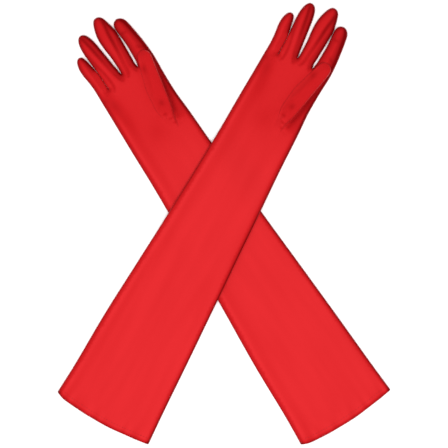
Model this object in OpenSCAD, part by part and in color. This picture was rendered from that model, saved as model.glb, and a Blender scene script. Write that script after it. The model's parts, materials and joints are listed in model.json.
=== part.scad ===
// A pair of long opera gloves of stretch satin, laid flat and crossed in an X, the thumbs folded over the palms.
// Each glove has its own frame: x runs to the thumb side, y from the hem to the fingertips and z up, palm side up.

/* [Glove] */
// Length from the hem to the middle fingertip
glove_len = 560; // [540:5:580]
// Flat width at the cuff
cuff_w = 123; // [116:1:130]
// Flat width at mid forearm
forearm_w = 98; // [94:1:102]
// Flat width at the wrist
wrist_w = 82; // [80:1:86]
// Flat width across the palm, below the fingers
palm_w = 80; // [79:1:82]
// Height of the closed, flat glove
lay_h = 7; // [6.6:0.1:8]
// Thickness of the cloth
cloth_t = 0.8; // [0.6:0.1:0.9]

/* [Hem] */
// Depth of the turned hem
hem_w = 9; // [7:1:12]
// Thickness of the doubled cloth in the hem
hem_t = 1.0; // [0.9:0.1:1.1]
// Rise of the curved hem edge at its corners
hem_rise = 6; // [4:1:8]
// Length of one stitch
stitch_len = 2.2; // [1.6:0.2:2.6]
// Distance from stitch to stitch
stitch_pitch = 3.4; // [3:0.2:5]

/* [Fingers] */
// Length of the middle finger
middle_len = 73; // [68:1:76]
// Clear distance between parts that move apart
joint_gap = 0.5; // [0.4:0.1:0.8]

/* [Thumb] */
// Length of the thumb beyond its base
thumb_len = 82; // [76:1:83]
// Height of the thumb lying on the palm
thumb_h = 6.4; // [6:0.1:7]
// Length of the folded base that joins the thumb to the palm
thumb_base_len = 20; // [16:1:24]
// Lean of the thumb towards the index finger
thumb_lean = 10; // [8:1:11]

/* [Pair] */
// Angle of the upper glove to the row's y axis
upper_turn = -28.3; // [-30:0.1:-26]
// Angle of the lower glove to the row's y axis
lower_turn = 33.3; // [31:0.1:35]
// Distance over which the upper glove comes down beside the lower one
drape_run = 34; // [30:1:40]
// Clear height between cloths that lie on each other
lay_gap = 0.3; // [0.3:0.1:0.5]

/* [Hidden] */
GLOVES = ["upper", "lower"];
FINGERS = ["little", "ring", "middle", "index"];
UPPER_AT = [-143.1, -233.8];
LOWER_AT = [148.3, -230.9];
SATIN = "crimson";
SATIN_SIDE = "firebrick";
THREAD = "darkred";

root_y = glove_len - middle_len;
top_z = lay_h - cloth_t;
inner_h = lay_h - 2 * cloth_t;
thumb_z = lay_h + lay_gap;
thumb_top = thumb_z + thumb_h;
thumb_at = [19.3, root_y - 73];
far = 700;
// Hairline that keeps the folded edge of the trank a solid of its own.
fold_gap = 0.04;

// Arm outline, as [y, half width on the little finger's side, half width on the thumb's side].
ARM = [
    [0, cuff_w * 0.512, cuff_w * 0.49],
    [root_y * 0.23, forearm_w * 0.577, forearm_w * 0.56],
    [root_y * 0.47, forearm_w * 0.497, forearm_w * 0.497],
    [root_y * 0.7, wrist_w * 0.502, wrist_w * 0.544],
    [root_y * 0.885, palm_w * 0.48, palm_w * 0.508],
    [root_y, palm_w * 0.458, palm_w * 0.541]
];

// Fingers: root x, tip x, root half width, tip half width, root y, cut y, tip y and bluntness of the tip.
FINGER = [
    [-31.1, -31.6, 6.7, 6.3, root_y - 8, root_y - 3, root_y + 0.605 * middle_len, 2.3],
    [-12.2, -15.3, 10.2, 8.2, root_y - 1, root_y + 5, root_y + 0.89 * middle_len, 2.3],
    [10.4, 10.4, 9.8, 9.6, root_y, root_y + 5, root_y + middle_len, 2.8],
    [33.0, 30.8, 10.1, 8.3, root_y - 1, root_y + 13, root_y + 0.8 * middle_len, 2.4]
];
// Heights of the crotches between the fingers, from the little finger's to the index finger's.
CROTCH_Y = [root_y - 8.5, root_y - 0.5, root_y - 0.5];
// x of the lines that part neighbouring fingers, from the little finger's outer side.
PARTING = [-60, -23.6, -0.6, 21.6, 70];

// Thumb outline in its own frame, as [y, half width].
THUMB = [[0, 7.2], [thumb_len * 0.16, 9.4], [thumb_len * 0.45, 10.4], [thumb_len * 0.7, 11.6], [thumb_len * 0.86, 11]];

function finger_nodes(glove, finger) = [
    str(glove, "_", finger, "_front"),
    str(glove, "_", finger, "_back")
];
FOURCHETTES = [
    ["little_fourchette", 0, 1],
    ["ring_fourchette_little_side", 1, -1],
    ["ring_fourchette_middle_side", 1, 1],
    ["middle_fourchette_ring_side", 2, -1],
    ["middle_fourchette_index_side", 2, 1],
    ["index_fourchette", 3, -1]
];
PLAIN = ["palm", "back", "side_seam", "cuff_hem", "hem_stitching", "thumb_base", "thumb_front", "thumb_back"];
NODES = [for (glove = GLOVES) each [
    for (part = PLAIN) str(glove, "_", part),
    for (finger = FINGERS) each finger_nodes(glove, finger),
    for (side = FOURCHETTES) str(glove, "_", side[0])
]];
node = "all";

// Catmull-Rom curve through a list of points.
function spline(a, b, c, d, t) =
    b + 0.5 * t * (c - a + t * (2 * a - 5 * b + 4 * c - d + t * (3 * (b - c) + d - a)));
function curve(pts, n) = [
    for (i = [0 : len(pts) - 2], k = [0 : n - 1])
        spline(pts[max(i - 1, 0)], pts[i], pts[i + 1], pts[min(i + 2, len(pts) - 1)], k / n),
    pts[len(pts) - 1]
];
function reverse(list) = [for (i = [len(list) - 1 : -1 : 0]) list[i]];

// Rounded end of a finger or thumb: half widths that fall from w to 0 over a length, by a superellipse.
function tip_half(w, t, blunt) = w * pow(max(0, 1 - pow(t, blunt)), 1 / blunt);

// One side of a finger, from a root height to its tip, at an inset; side is -1 or 1.
function finger_side(f, side, inset, from) = let (end = f[6] - inset - 1.1 * f[3])
    [for (t = [0, 0.5, 0.8])
        let (y = from + t * (end - from), s = (y - f[4]) / (f[6] - f[4]))
        [f[0] + s * (f[1] - f[0]) + side * (f[2] + s * (f[3] - f[2]) - inset), y]];

// The round end of a finger, from its thumb side to its little finger's side.
function finger_tip(f, inset) = let (end = f[6] - inset, round_len = 1.1 * f[3])
    [for (a = [75 : -15 : -75])
        let (t = cos(a), s = sign(a) * tip_half(1, t, f[7]))
        [f[1] + s * (f[3] - inset), end - round_len + round_len * t]];

// A whole finger as a run of points from its thumb side, over the tip, to the little finger's side.
function finger_run(i, inset, right_from, left_from) = concat(
    finger_side(FINGER[i], 1, inset, right_from),
    finger_tip(FINGER[i], inset),
    reverse(finger_side(FINGER[i], -1, inset, left_from))
);

// The whole glove without its thumb as one outline, at an inset; the cuff runs on when inset, so it stays open.
module glove_2d(inset) {
    edge = [for (e = curve(ARM, 4)) if (e[0] < root_y - 12) e];
    foot = inset > 0 ? -20 : 0;
    web = [for (y = CROTCH_Y) y - inset];
    polygon(concat(
        [for (e = edge) [e[2] - inset, e[0] == 0 ? foot : e[0]]],
        finger_run(3, inset, root_y - 1, web[2]),
        finger_run(2, inset, web[2], web[1]),
        finger_run(1, inset, web[1], web[0]),
        finger_run(0, inset, web[0], root_y - 8),
        reverse([for (e = edge) [inset - e[1], e[0] == 0 ? foot : e[0]]])
    ));
}

// One finger with a square root below its cut, at an inset.
module finger_2d(i, inset) {
    root = FINGER[i][5] - 3;
    polygon(finger_run(i, inset, root, root));
}

// The strip of the plane that belongs to one finger, beyond its cut.
module beyond_cut(i, gap) {
    translate([PARTING[i], FINGER[i][5] + gap]) square([PARTING[i + 1] - PARTING[i], far]);
}

// Everything above the curved line that lies a height above the hem's edge.
module above_hem(height) {
    half = cuff_w * 0.53;
    line = [for (t = [-1 : 0.2 : 1]) [t * half, height + hem_rise * t * t]];
    polygon(concat(line, [[half, far], [-half, far]]));
}

// The hand and arm of the glove between the hem and the fingers' cuts.
module trunk_2d(inset) {
    difference() {
        intersection() {
            glove_2d(inset);
            above_hem(hem_w);
        }
        for (i = [0 : 3]) beyond_cut(i, -joint_gap / 2);
    }
}

module wall_2d() {
    difference() {
        trunk_2d(0);
        glove_2d(cloth_t);
    }
}

module little_side_2d() {
    intersection() {
        wall_2d();
        translate([-far, 0]) square([far - 27, FINGER[0][5]]);
    }
}

module thumb_side_2d() {
    difference() {
        wall_2d();
        translate([-far, -50]) square([far - 27, FINGER[0][5] + 50]);
    }
}

// Places a glove of the pair from its own frame.
module place(glove) {
    if (glove == "upper")
        translate([UPPER_AT[0], UPPER_AT[1], 0]) rotate([0, 0, upper_turn]) children();
    else
        translate([LOWER_AT[0], LOWER_AT[1], 0]) rotate([0, 0, lower_turn]) children();
}

// Height of the upper glove's underside at a distance across the lower glove.
over_half = 51;
over_h = lay_h + lay_gap;
function lift(w) = let (t = min(max((abs(w) - over_half) / drape_run, 0), 1)) over_h * (1 - t * t * (3 - 2 * t));
LIFT_W = [
    for (t = [1 : -0.2 : 0]) -over_half - t * drape_run,
    for (t = [0 : 0.2 : 1]) over_half + t * drape_run
];

// A slab between two heights above the upper glove's underside, which rides over the lower glove.
module draped_slab(low, high) {
    under = concat([[-far, low]], [for (w = LIFT_W) [w, lift(w) + low]], [[far, low]]);
    over = concat([[far, high]], reverse([for (w = LIFT_W) [w, lift(w) + high]]), [[-far, high]]);
    place("lower") translate([0, 300, 0]) rotate([90, 0, 0])
        linear_extrude(2 * far, center = true) polygon(concat(under, over));
}

// Cloth between two heights above the glove's underside, with the outline given as a child.
module sheet(glove, low, high) {
    if (glove == "upper")
        intersection() {
            place(glove) linear_extrude(4 * lay_h) children();
            draped_slab(low, high);
        }
    else
        place(glove) translate([0, 0, low]) linear_extrude(high - low) children();
}

module thumb_frame() {
    translate(thumb_at) rotate(-thumb_lean) children();
}

module palm(glove) {
    color(SATIN) {
        sheet(glove, top_z, lay_h) difference() {
            trunk_2d(0);
            thumb_frame() translate([-5.6, -thumb_base_len + 5]) square([11.2, thumb_base_len - 7]);
        }
        sheet(glove, cloth_t, top_z - fold_gap) thumb_side_2d();
    }
}

module back(glove) {
    color(SATIN) sheet(glove, 0, cloth_t) trunk_2d(0);
}

module side_seam(glove) {
    color(SATIN_SIDE) sheet(glove, cloth_t, top_z) little_side_2d();
}

module hem_2d(inset) {
    difference() {
        intersection() {
            glove_2d(inset);
            above_hem(-inset);
        }
        above_hem(hem_w + inset);
    }
}

module cuff_hem(glove) {
    color(SATIN) place(glove) difference() {
        linear_extrude(lay_h) hem_2d(0);
        translate([0, 0, hem_t]) linear_extrude(lay_h - 2 * hem_t) hem_2d(hem_t);
    }
}

module hem_stitching(glove) {
    count = floor((cuff_w / 2 - 8) / stitch_pitch);
    color(THREAD) place(glove) for (k = [-count : count]) {
        x = k * stitch_pitch;
        y = hem_w - 2 + hem_rise * pow(x / (cuff_w * 0.53), 2);
        translate([x, y, lay_h + 0.125]) cube([stitch_len, 0.5, 0.25], center = true);
    }
}

// The thumb's outline in its own frame; it runs back past its cut when inset, so that the end stays open.
module thumb_2d(inset) {
    w = THUMB[4][1] - inset;
    y = THUMB[4][0];
    round_len = thumb_len - y - inset;
    side = [for (p = THUMB) [p[1] - inset, p[0] - (p[0] == 0 ? 3 : 0)]];
    tip = [for (a = [75 : -15 : -75]) [sign(a) * tip_half(w, cos(a), 2.6), y + round_len * cos(a)]];
    polygon(concat(side, tip, reverse([for (p = side) [-p[0], p[1]]])));
}

module thumb_outline(inset) {
    intersection() {
        thumb_2d(inset);
        translate([-30, joint_gap / 2]) square([60, far]);
    }
}

module thumb_back(glove) {
    color(SATIN) place(glove) translate([0, 0, thumb_z])
        linear_extrude(cloth_t) thumb_frame() thumb_outline(0);
}

module thumb_front(glove) {
    color(SATIN) place(glove) {
        translate([0, 0, thumb_top - cloth_t]) linear_extrude(cloth_t) thumb_frame() thumb_outline(0);
        translate([0, 0, thumb_z + cloth_t]) linear_extrude(thumb_h - 2 * cloth_t) thumb_frame() difference() {
            thumb_outline(0);
            thumb_2d(cloth_t);
        }
    }
}

// Side view of the thumb's base, a wedge that rises from the palm to the thumb's height, at an inset.
module base_profile(inset) {
    end = inset == 0 ? -joint_gap / 2 : 1;
    polygon([
        [-thumb_base_len + 3 * inset, lay_h - inset],
        [-4, thumb_top - inset],
        [end, thumb_top - inset],
        [end, lay_h - inset]
    ]);
}

module base_wedge(inset) {
    rotate([90, 0, 90]) linear_extrude(2 * (THUMB[0][1] - inset), center = true) base_profile(inset);
}

module thumb_base(glove) {
    color(SATIN_SIDE) place(glove) translate([thumb_at[0], thumb_at[1], 0]) rotate([0, 0, -thumb_lean])
        difference() {
            base_wedge(0);
            base_wedge(cloth_t);
        }
}

module finger_outline(i, inset) {
    intersection() {
        finger_2d(i, inset);
        beyond_cut(i, joint_gap / 2);
    }
}

// The upright side of a finger that a fourchette forms; side is -1 or 1.
module fourchette_2d(i, side) {
    f = FINGER[i];
    intersection() {
        difference() {
            finger_outline(i, 0);
            finger_2d(i, cloth_t);
        }
        translate([side < 0 ? f[1] - 30 : f[0], f[5]]) square([side < 0 ? 30 + f[0] - f[1] : 30, f[6] - f[3] - f[5]]);
    }
}

module finger_front(glove, i) {
    color(SATIN) place(glove) {
        translate([0, 0, top_z]) linear_extrude(cloth_t) finger_outline(i, 0);
        translate([0, 0, cloth_t]) linear_extrude(inner_h) difference() {
            finger_outline(i, 0);
            finger_2d(i, cloth_t);
            for (side = FOURCHETTES) if (side[1] == i) fourchette_2d(i, side[2]);
        }
    }
}

module finger_back(glove, i) {
    color(SATIN) place(glove) linear_extrude(cloth_t) finger_outline(i, 0);
}

module fourchette(glove, i, side) {
    color(SATIN_SIDE) place(glove) translate([0, 0, cloth_t]) linear_extrude(inner_h) fourchette_2d(i, side);
}

function wanted(glove, part) = node == "all" || node == str(glove, "_", part);

for (glove = GLOVES) {
    if (wanted(glove, "palm")) palm(glove);
    if (wanted(glove, "back")) back(glove);
    if (wanted(glove, "side_seam")) side_seam(glove);
    if (wanted(glove, "cuff_hem")) cuff_hem(glove);
    if (wanted(glove, "hem_stitching")) hem_stitching(glove);
    if (wanted(glove, "thumb_base")) thumb_base(glove);
    if (wanted(glove, "thumb_front")) thumb_front(glove);
    if (wanted(glove, "thumb_back")) thumb_back(glove);
    for (i = [0 : 3]) {
        if (wanted(glove, str(FINGERS[i], "_front"))) finger_front(glove, i);
        if (wanted(glove, str(FINGERS[i], "_back"))) finger_back(glove, i);
    }
    for (side = FOURCHETTES)
        if (wanted(glove, side[0])) fourchette(glove, side[1], side[2]);
}
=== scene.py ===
import json
import math

import bpy
import numpy as np
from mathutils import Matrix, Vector, noise
from mathutils.geometry import delaunay_2d_cdt


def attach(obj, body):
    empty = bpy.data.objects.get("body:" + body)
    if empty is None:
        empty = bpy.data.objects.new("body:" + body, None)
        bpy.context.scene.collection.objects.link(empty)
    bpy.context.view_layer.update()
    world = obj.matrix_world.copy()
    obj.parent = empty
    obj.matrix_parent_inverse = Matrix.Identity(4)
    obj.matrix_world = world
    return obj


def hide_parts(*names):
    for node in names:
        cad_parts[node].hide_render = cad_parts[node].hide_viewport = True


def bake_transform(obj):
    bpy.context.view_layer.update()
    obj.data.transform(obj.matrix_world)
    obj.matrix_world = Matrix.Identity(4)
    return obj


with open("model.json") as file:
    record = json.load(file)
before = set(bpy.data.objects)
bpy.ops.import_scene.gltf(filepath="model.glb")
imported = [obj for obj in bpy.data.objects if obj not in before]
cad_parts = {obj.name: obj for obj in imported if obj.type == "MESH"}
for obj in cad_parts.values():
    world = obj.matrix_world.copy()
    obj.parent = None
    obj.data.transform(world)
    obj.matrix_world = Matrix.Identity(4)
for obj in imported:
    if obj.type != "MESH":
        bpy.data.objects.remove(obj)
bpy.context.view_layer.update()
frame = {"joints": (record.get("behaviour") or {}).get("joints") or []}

# The camera looks straight down on the pair: the width and the middle of its picture, and its height.
PICTURE_SPAN = 0.5276
PICTURE_MID = (0.00083, 0.00033)
CAMERA_UP = 2.0
GLOVE_MID_Z = 0.004
SENSOR = 36.0
camera_data = bpy.data.cameras.new("camera")
camera_data.sensor_width = SENSOR
camera_data.lens = SENSOR * (CAMERA_UP - GLOVE_MID_Z) / PICTURE_SPAN
camera = bpy.data.objects.new("camera", camera_data)
camera.location = (*PICTURE_MID, CAMERA_UP)
bpy.context.scene.collection.objects.link(camera)
bpy.context.scene.camera = camera

# A pair of long satin opera gloves, laid flat and crossed. The cloth is cut as flat outlines in each glove's
# own frame, in millimetres: u runs to the thumb side, v from the hem to the fingertips, z up.

MM = 0.001
GLOVES = ("lower", "upper")
FINGERS = ("little", "ring", "middle", "index")

# Outline of a glove laid flat, from the cuff's thumb side round the fingers to the cuff's other side.
THUMB_SIDE = [
    (60.4, 3.4), (58.3, 43), (55.5, 113), (52.2, 184), (49.2, 245), (46.4, 312), (44.2, 361),
    (42.9, 408), (41.6, 436), (42.3, 462), (43.8, 486),
]
INDEX = [
    (43.6, 496), (42.9, 507), (41.6, 519.5), (39.9, 532), (38.2, 539.4), (35.4, 543.2), (31.2, 545.4),
    (27.0, 544.7), (23.8, 541.8), (22.45, 537), (22.55, 530), (23.25, 521), (23.4, 513), (23.0, 504),
    (22.1, 492),
]
MIDDLE = [
    (20.7, 485.4), (19.8, 490), (20.4, 498), (20.8, 506), (21.4, 516), (21.9, 526), (21.9, 535),
    (20.4, 544), (18.7, 551), (16.6, 556.4), (13.4, 559.2), (9.6, 559.8), (6.6, 558.6), (3.6, 554.2),
    (1.3, 548.2), (-0.6, 541), (-1.4, 533), (-1.0, 521), (-0.2, 512), (0.0, 503), (0.0, 493),
]
RING = [
    (-0.5, 487.8), (-1.1, 492.0), (-2.4, 502), (-3.6, 514), (-5.2, 528), (-6.6, 538), (-8.7, 545.6),
    (-11.4, 550.2), (-15.6, 552.3), (-19.4, 551.1), (-22.2, 547.0), (-24.0, 540.6), (-24.6, 531),
    (-24.05, 519), (-23.45, 510), (-22.95, 501), (-22.85, 484),
]
LITTLE = [
    (-22.9, 481.0), (-22.97, 484), (-23.07, 501), (-23.9, 510), (-25.1, 517.6), (-26.5, 525), (-28.4, 529.6),
    (-31.6, 531.4), (-35.0, 530.2), (-37.6, 526), (-39.1, 519.8), (-39.3, 511), (-38.2, 501.6), (-37.5, 491),
]
LITTLE_SIDE = [
    (-38.2, 470), (-38.7, 455), (-40.5, 408), (-41.9, 361), (-44.2, 314), (-47.9, 255), (-53.1, 184),
    (-58.0, 113), (-60.7, 43), (-63.2, 7.2),
]
HEM = [
    (-63.2, 7.2), (-53, 3.5), (-31, 0.8), (-12.5, -0.4), (11.4, -0.7), (24.3, 0.1), (45, 1.8), (60.4, 3.4),
]

# Where each finger starts to bend, its middle line there, and the lines between it and its neighbours.
CUT_V = {"little": 484.0, "ring": 492.0, "middle": 492.0, "index": 500.0}
CUT_U = {"little": -31.1, "ring": -12.2, "middle": 10.4, "index": 33.0}
PARTING = [
    [(-60, 480), (-60, 560)],
    [(-22.9, 480), (-23.0, 501), (-23.65, 510), (-24.5, 518), (-25.5, 525), (-26.4, 529), (-28, 533)],
    [(-0.5, 488), (-0.5, 492.6), (-1.2, 502), (-2.2, 514), (-3.2, 528), (-4.2, 540)],
    [(20.6, 486), (21.1, 494), (21.8, 505), (22.3, 514), (22.2, 540)],
    [(70, 480), (70, 560)],
]

# Seams between each finger's front and its side panels: the name of the panel, which side of the seam it is
# on, and the seam's line on the palm side and on the back.
SIDE_PANELS = {
    "little": [
        ("little_fourchette", 1,
         [(-26.6, 474), (-27.7, 478.4), (-28.3, 494), (-28.6, 508), (-28.2, 516), (-26.4, 523),
          (-22.5, 530)],
         [(-26.6, 474), (-27.0, 505), (-28.0, 518), (-29.5, 528), (-29.5, 536)]),
    ],
    "ring": [
        ("ring_fourchette_little_side", -1,
         [(-19.4, 474.4), (-16.8, 478), (-15.8, 484.3), (-16.6, 497), (-19.2, 510), (-21.8, 524),
          (-26, 536)],
         [(-19.2, 477), (-19.5, 520), (-20.4, 536), (-18.0, 547), (-17.0, 557)]),
        ("ring_fourchette_middle_side", 1,
         [(-1.6, 477), (-4.6, 483.6), (-7.0, 492), (-9.0, 503), (-11.0, 514), (-12.9, 525), (-14.5, 535),
          (-16.6, 546), (-18.4, 556)],
         [(-5.0, 480), (-7.4, 505), (-11.0, 533), (-13.0, 546), (-13.4, 557)]),
    ],
    "middle": [
        ("middle_fourchette_ring_side", -1,
         [(3.4, 479), (6.0, 483), (7.7, 489), (8.4, 497), (9.7, 508), (10.9, 520), (12.1, 535),
          (14.4, 548), (17, 562)],
         [(4.6, 480), (3.0, 520), (3.6, 540), (6.6, 553), (7.4, 564)]),
        ("middle_fourchette_index_side", 1,
         [(18.4, 478), (16.6, 483), (14.4, 492), (15.6, 502), (16.4, 514), (18.2, 524), (22.5, 536)],
         [(16.6, 480), (17.8, 527), (16.6, 541), (13.8, 553), (13.4, 564)]),
    ],
    "index": [
        ("index_fourchette", -1,
         [(23.6, 482), (25.2, 488), (26.9, 495), (27.8, 504), (28.0, 516), (26.8, 528), (24.0, 535),
          (20.5, 539)],
         [(26.8, 482), (26.4, 524), (27.4, 536), (29.4, 550)]),
    ],
}

# The thumb: the middle of the cut where it bends, its lean, how far its folded base reaches below the cut,
# and where the cut ends on either side. Its outline runs from the tip of the folded base up the palm side to
# the thumb's tip, and back down the edge side.
THUMB_AT = np.array([19.3, 414.0])
THUMB_LEAN = math.radians(10)
THUMB_BASE = 20.0
CUT_LEFT, CUT_RIGHT = -7.4, 6.2
THUMB_Y = np.array([math.sin(THUMB_LEAN), math.cos(THUMB_LEAN)])
THUMB_X = np.array([math.cos(THUMB_LEAN), -math.sin(THUMB_LEAN)])
SLIT_LEFT = tuple(THUMB_AT + CUT_LEFT * THUMB_X)
SLIT_RIGHT = tuple(THUMB_AT + CUT_RIGHT * THUMB_X)
THUMB_LEFT = [
    (18.2, 394.6), (14.6, 397.6), (12.6, 403.0), (12.1, 409.0), SLIT_LEFT, (10.9, 421.8), (10.2, 428.6),
    (11.4, 440.2), (13.0, 452), (14.3, 458.5), (16.2, 464.2), (19.1, 472.8), (22.2, 482), (25.0, 491.0),
    (28.0, 496.4), (33.2, 498.3),
]
THUMB_RIGHT = [
    (38.0, 496.6), (41.0, 492.4), (41.2, 487.0), (40.0, 480.5), (38.2, 472.6), (34.8, 455), (31.8, 440.4),
    (29.3, 428.6), (27.3, 420.4), SLIT_RIGHT, (24.0, 406.5), (22.4, 400.0), (20.6, 396.0),
]

# Thicknesses of the cloth and of the doubled hem, the hem's depth, and how far in the side seam lies.
CLOTH_T, HEM_T = 0.55, 0.9
HEM_W = 9.0
SIDE_SEAM_IN = 3.5
# The hem's stitches: how far below its top they run, and how high over the cloth a thread's middle lies and
# how far its ends are below that.
STITCH_BELOW = 2.0
STITCH_RISE, STITCH_DIP = 0.16, 0.42
# Height of the turned edge on the arm and on the fingers.
EDGE_Z = 2.2
FINGER_EDGE_Z = 2.9
# How the arm, the palm, the fingers and the thumb round off towards their edges: the share and the width of
# a tight curve and of a broad one.
ARM_ROUND = ((0.5, 3.2), (0.5, 26))
PALM_ROUND = ((0.6, 4.5), (0.4, 16))
FINGER_ROUND = ((0.35, 3.5), (0.65, 9))
THUMB_ROUND = ((0.5, 2.2), (0.5, 8.0))
# Lift of the upper glove over the lower one, and where its ramps start and end on either side of that one.
OVER_Z, OVER_NEAR, OVER_FAR = 6.9, 31.0, 80.0
# Along the lower glove, where the upper one's lift can start and end.
OVER_FROM, OVER_TO = -40, 620
# Height of the thumb's underside, how far inwards its soft side rises, and where its rounded tip starts and
# is complete.
THUMB_UNDER_Z = 7.05
THUMB_SOFT = (-1.5, 9.5)
THUMB_TIP_Y = (66, 82)
# Heights v over which the arm's shape passes into the hand's, and the hand's into the fingers'.
HAND_V = (330, 430)
FINGERS_V = (480, 506)
# Beyond this u the outline has nothing but the little finger's side.
LITTLE_SIDE_U = -36
# Grids of the cloth, as low v, high v and gap, and distances inside the edge where points follow it.
GLOVE_GRID = [(-5, 30, 2.0), (30, 385, 3.2), (385, 565, 1.5)]
GLOVE_RINGS = (0.35, 0.9, 1.7, 2.8)
THUMB_GRID = [(385, 505, 1.3)]
THUMB_RINGS = (0.35, 0.9, 1.7)


def step(x, low, high):
    """Smooth step from 0 at low to 1 at high."""
    t = np.clip((np.asarray(x, float) - low) / (high - low), 0, 1)
    return t * t * (3 - 2 * t)


def round_off(d, width):
    """Height share of a rounded edge, 0 at the edge and 1 from width inwards."""
    t = np.clip(np.asarray(d, float) / width, 0, 1)
    return np.sqrt(np.maximum(0, 1 - (1 - t) ** 2))


def round_both(d, curves):
    """Height share of an edge whose rounding is a tight and a broad curve together."""
    return sum(share * round_off(d, width) for share, width in curves)


def bell(d, sigma):
    """A smooth hump, 1 at d = 0."""
    return np.exp(-((np.asarray(d, float) / sigma) ** 2))


def curve(knots, spacing, closed=False):
    """Points on a centripetal Catmull-Rom curve through the knots, about a spacing apart, every knot kept."""
    p = np.array(knots, float)
    n = len(p)
    out = []
    for i in range(n if closed else n - 1):
        b, c = p[i], p[(i + 1) % n]
        a = p[(i - 1) % n] if closed or i > 0 else 2 * b - c
        d = p[(i + 2) % n] if closed or i + 2 < n else 2 * c - b
        t1 = math.sqrt(max(np.linalg.norm(b - a), 1e-6))
        t2 = t1 + math.sqrt(np.linalg.norm(c - b))
        t3 = t2 + math.sqrt(max(np.linalg.norm(d - c), 1e-6))
        gap = spacing(b[1]) if callable(spacing) else spacing
        count = max(1, round(np.linalg.norm(c - b) / gap))
        for k in range(count):
            t = t1 + (t2 - t1) * k / count
            ab = a + (b - a) * t / t1
            bc = b + (c - b) * (t - t1) / (t2 - t1)
            cd = c + (d - c) * (t - t2) / (t3 - t2)
            abc = ab + (bc - ab) * t / t2
            bcd = bc + (cd - bc) * (t - t1) / (t3 - t1)
            out.append(abc + (bcd - abc) * (t - t1) / (t2 - t1))
    if not closed:
        out.append(p[-1])
    return np.array(out)


def nearest(points, path):
    """Distance from each point to a path, and the length along the path to the place nearest to it."""
    best = np.full(len(points), 1e9)
    along = np.zeros(len(points))
    run = 0.0
    for a, b in zip(path[:-1], path[1:]):
        d = b - a
        size = float(np.hypot(*d))
        if size < 1e-9:
            continue
        rel = points - a
        t = np.clip(rel @ d / size**2, 0, 1)
        away = np.hypot(rel[:, 0] - t * d[0], rel[:, 1] - t * d[1])
        closer = away < best
        best[closer] = away[closer]
        along[closer] = run + t[closer] * size
        run += size
    return best, along


def inside(points, loop):
    """Which points lie inside a closed loop."""
    x, y = points[:, 0], points[:, 1]
    result = np.zeros(len(points), bool)
    for (x1, y1), (x2, y2) in zip(loop, np.roll(loop, -1, axis=0)):
        if y1 != y2:
            result ^= ((y1 > y) != (y2 > y)) & (x < (x2 - x1) * (y - y1) / (y2 - y1) + x1)
    return result


def hex_grid(low, high, gap):
    """A triangular grid of points a gap apart that fills a box."""
    rows = np.arange(low[1], high[1], gap * math.sqrt(0.75))
    columns = np.arange(low[0], high[0], gap)
    return np.array([(x + (0.5 * gap if k % 2 else 0), y) for k, y in enumerate(rows) for x in columns])


def doubled_area(a, b, c):
    """Twice the signed area of flat triangles."""
    return (b[:, 0] - a[:, 0]) * (c[:, 1] - a[:, 1]) - (b[:, 1] - a[:, 1]) * (c[:, 0] - a[:, 0])


# In a mesh of the cloth: the share of its distance that a ring's point keeps from every part of the edge, the
# gap that ring points keep from a seam, and the shares of a grid's gap that its points keep from the last
# ring and from a seam.
RING_KEEPS, RING_CLEAR = 0.93, 0.4
GRID_FROM_RING, GRID_CLEAR = 0.55, 0.5


def triangulate(loop, lines, bands, rings):
    """Triangles that fill a loop and keep the lines as edges. bands are (low v, high v, grid gap), and rings
    are distances inside the loop where extra points follow its edge."""
    closed = np.vstack([loop, loop[:1]])
    points = [loop]
    edges = [(i, (i + 1) % len(loop)) for i in range(len(loop))]
    total = len(loop)
    for line in lines:
        points.append(line)
        edges += [(total + i, total + i + 1) for i in range(len(line) - 1)]
        total += len(line)
    tangent = np.roll(loop, -1, axis=0) - np.roll(loop, 1, axis=0)
    tangent /= np.linalg.norm(tangent, axis=1)[:, None]
    inward = np.stack([-tangent[:, 1], tangent[:, 0]], 1)
    if not inside(loop[:1] + 0.1 * inward[:1], loop)[0]:
        inward = -inward
    extra = []
    for d in rings:
        ring = loop + d * inward
        ring = ring[inside(ring, loop) & (nearest(ring, closed)[0] > RING_KEEPS * d)]
        extra.append(ring[clear_of(ring, lines, RING_CLEAR)])
    for low, high, gap in bands:
        grid = hex_grid((loop[:, 0].min(), low), (loop[:, 0].max(), high), gap)
        grid = grid[(grid[:, 1] >= low) & (grid[:, 1] < high)]
        grid = grid[inside(grid, loop)]
        grid = grid[nearest(grid, closed)[0] > rings[-1] + GRID_FROM_RING * min(gap, 2)]
        extra.append(grid[clear_of(grid, lines, GRID_CLEAR * gap)])
    points = np.vstack(points + extra)
    result = delaunay_2d_cdt([Vector(p) for p in points], edges, [], 0, 1e-4)
    verts = np.array([(p.x, p.y) for p in result[0]])
    faces = np.array([f for f in result[2] if len(f) == 3])
    faces = faces[inside(verts[faces].mean(1), loop)]
    a, b, c = verts[faces[:, 0]], verts[faces[:, 1]], verts[faces[:, 2]]
    area = doubled_area(a, b, c)
    faces[area < 0] = faces[area < 0][:, ::-1]
    faces = faces[np.abs(area) > 1e-6]
    used, faces = np.unique(faces, return_inverse=True)
    return verts[used], faces.reshape(-1, 3)


def clear_of(points, lines, gap):
    """Which points lie at least a gap from every line."""
    ok = np.ones(len(points), bool)
    for line in lines:
        near = (
            (points[:, 0] > line[:, 0].min() - gap) & (points[:, 0] < line[:, 0].max() + gap)
            & (points[:, 1] > line[:, 1].min() - gap) & (points[:, 1] < line[:, 1].max() + gap)
        )
        if near.any():
            ok[near] &= nearest(points[near], line)[0] > gap
    return ok


def at_v(line, v):
    """u of a line that runs upwards, at the heights v."""
    return np.interp(v, line[:, 1], line[:, 0])


# ---------------------------------------------------------------- the cut of the glove, shared by both gloves


def outline_gap(v):
    """Distance between the outline's points, closest round the fingers."""
    return 1.25 if v > 385 else 3.0 if v > 30 else 2.0


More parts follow.
